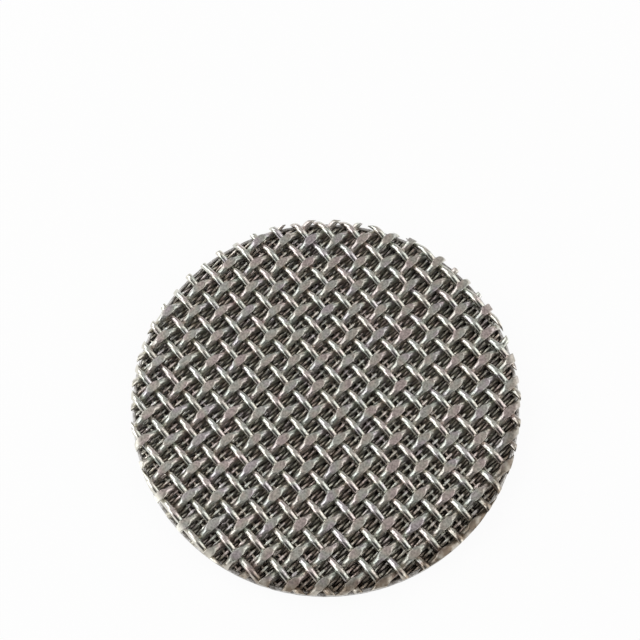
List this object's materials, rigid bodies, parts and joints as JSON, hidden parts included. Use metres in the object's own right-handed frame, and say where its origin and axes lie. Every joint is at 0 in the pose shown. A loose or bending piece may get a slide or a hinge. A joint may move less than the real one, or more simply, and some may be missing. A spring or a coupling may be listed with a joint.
{
  "type": "sintered wire mesh filter disc",
  "caption": "Flat round sintered filter disc of bonded woven steel cloths, with a fine screen face on one side and a coarse crimped support weave on the other.",
  "frame": {"origin": "centre of the fine face, on the disc's axis", "axes": "+Z along the disc's axis, from the fine face to the coarse support face; the disc lies with its fine face down on Z = 0"},
  "size_m": [0.05, 0.05, 0.0028],
  "materials": {
    "fine_cloth": "fine woven wire, matt",
    "dutch_cloth": "close-packed woven wire, satin",
    "support_wire": "bright drawn wire with pressed satin knuckles"
  },
  "bodies": {
    "root": {"protective_cloth": "fine_cloth", "filter_cloth": "fine_cloth", "dispersion_cloth": "fine_cloth", "reinforcing_cloth": "dutch_cloth", "support_warp_01": "support_wire", "support_warp_02": "support_wire", "support_warp_03": "support_wire", "support_warp_04": "support_wire", "support_warp_05": "support_wire", "support_warp_06": "support_wire", "support_warp_07": "support_wire", "support_warp_08": "support_wire", "support_warp_09": "support_wire", "support_warp_10": "support_wire", "support_warp_11": "support_wire", "support_warp_12": "support_wire", "support_warp_13": "support_wire", "support_warp_14": "support_wire", "support_warp_15": "support_wire", "support_warp_16": "support_wire", "support_warp_17": "support_wire", "support_warp_18": "support_wire", "support_warp_19": "support_wire", "support_weft_01": "support_wire", "support_weft_02": "support_wire", "support_weft_03": "support_wire", "support_weft_04": "support_wire", "support_weft_05": "support_wire", "support_weft_06": "support_wire", "support_weft_07": "support_wire", "support_weft_08": "support_wire", "support_weft_09": "support_wire", "support_weft_10": "support_wire", "support_weft_11": "support_wire", "support_weft_12": "support_wire", "support_weft_13": "support_wire", "support_weft_14": "support_wire", "support_weft_15": "support_wire", "support_weft_16": "support_wire", "support_weft_17": "support_wire", "support_weft_18": "support_wire", "support_weft_19": "support_wire", "support_weft_20": "support_wire", "support_weft_21": "support_wire"}
  },
  "joints": []
}
